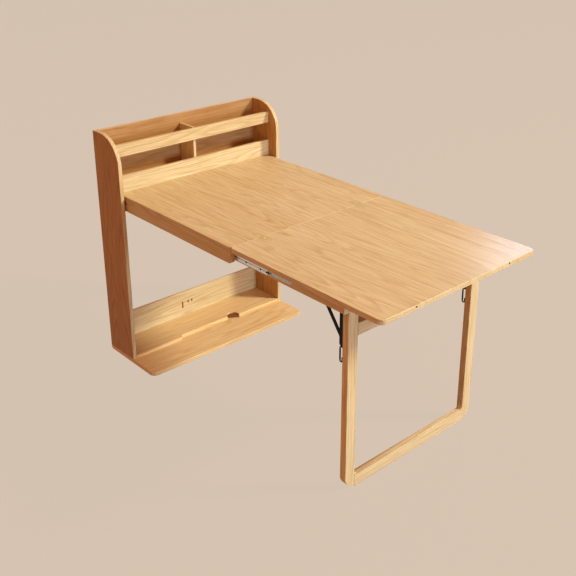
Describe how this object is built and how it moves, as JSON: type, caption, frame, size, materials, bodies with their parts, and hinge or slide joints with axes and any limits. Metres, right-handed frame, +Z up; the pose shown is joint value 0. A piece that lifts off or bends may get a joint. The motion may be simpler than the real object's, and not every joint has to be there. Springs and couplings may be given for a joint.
{
  "type": "wall mounted drop leaf table",
  "caption": "Oak drop leaf table on a narrow rack cabinet: the front leaf flips back, the leg frame folds and slides in, and the top drops between the side panels.",
  "frame": {"origin": "on the floor, mid-width, under the front edges of the side panels", "axes": "+Z up, +Y towards the wall, the table runs out towards -Y, +X to the right seen from the front"},
  "size_m": [0.828, 1.5692, 0.992],
  "materials": {
    "oak": "satin",
    "steel": "zinc plated",
    "black_metal": "satin black",
    "brass": "satin",
    "rubber": "matt",
    "nylon": "matt"
  },
  "bodies": {
    "cabinet": {"left_side_panel": "oak", "right_side_panel": "oak", "base_board": "oak", "step_board": "oak", "lower_back_rail": "oak", "rack_back_panel": "oak", "rack_shelf": "oak", "rack_divider": "oak", "lower_front_rail": "oak", "upper_front_rail": "oak"},
    "box": {"rear_leaf": "oak", "left_box_rail": "oak", "right_box_rail": "oak", "left_pivot_pin": "steel", "right_pivot_pin": "steel", "left_pivot_washer": "nylon", "right_pivot_washer": "nylon", "left_slide_outer": "steel", "right_slide_outer": "steel", "left_hinge_rear_plate": "brass", "right_hinge_rear_plate": "brass"},
    "flap": {"front_leaf": "oak", "left_hinge_front_plate": "brass", "right_hinge_front_plate": "brass", "left_edge_bumper": "rubber", "right_edge_bumper": "rubber"},
    "frame": {"left_apron": "oak", "right_apron": "oak", "left_slide_inner": "steel", "right_slide_inner": "steel", "left_leg_pin": "steel", "right_leg_pin": "steel", "left_bracket_guide": "black_metal", "right_bracket_guide": "black_metal", "front_cross_slat": "oak", "rear_cross_slat": "oak"},
    "legs": {"left_leg": "oak", "right_leg": "oak", "left_leg_bracket": "black_metal", "right_leg_bracket": "black_metal", "left_strut_pin": "black_metal", "right_strut_pin": "black_metal", "left_release_loop": "black_metal", "right_release_loop": "black_metal", "leg_foot_rail": "oak", "leg_top_rail": "oak"},
    "left_slide_mid": {"left_slide_middle": "steel", "left_rear_cage": "nylon", "left_front_cage": "nylon"},
    "left_stay": {"left_strut": "black_metal"},
    "right_slide_mid": {"right_slide_middle": "steel", "right_rear_cage": "nylon", "right_front_cage": "nylon"},
    "right_stay": {"right_strut": "black_metal"}
  },
  "joints": [
    {"name": "table_drop", "type": "hinge", "parent": "cabinet", "child": "box", "pos_m": [0, 0.014, 0.722], "axis": [1, 0, 0], "range_deg": [0, 45]},
    {"name": "leaf_flip", "type": "hinge", "parent": "box", "child": "flap", "pos_m": [0, -0.6722, 0.7505], "axis": [-1, 0, 0], "range_deg": [0, 180]},
    {"name": "frame_slide", "type": "slide", "parent": "box", "child": "frame", "axis": [0, 1, 0], "range_m": [0, 0.533]},
    {"name": "leg_fold", "type": "hinge", "parent": "frame", "child": "legs", "pos_m": [0, -1.1915, 0.701], "axis": [1, 0, 0], "range_deg": [0, 90]},
    {"name": "left_slide_follow", "type": "slide", "parent": "box", "child": "left_slide_mid", "axis": [0, 1, 0], "range_m": [0, 0.179]},
    {"name": "left_stay_turn", "type": "hinge", "parent": "legs", "child": "left_stay", "pos_m": [-0.325, -1.1686, 0.572], "axis": [1, 0, 0], "range_deg": [-143.6, 0]},
    {"name": "right_slide_follow", "type": "slide", "parent": "box", "child": "right_slide_mid", "axis": [0, 1, 0], "range_m": [0, 0.179]},
    {"name": "right_stay_turn", "type": "hinge", "parent": "legs", "child": "right_stay", "pos_m": [0.302, -1.1686, 0.572], "axis": [1, 0, 0], "range_deg": [-143.6, 0]}
  ],
  "couplings": [
    {"joint": "left_slide_follow", "follows": "frame_slide", "ratio": 0.33583},
    {"joint": "left_stay_turn", "follows": "leg_fold", "ratio": -1.5956},
    {"joint": "right_slide_follow", "follows": "frame_slide", "ratio": 0.33583},
    {"joint": "right_stay_turn", "follows": "leg_fold", "ratio": -1.5956}
  ]
}
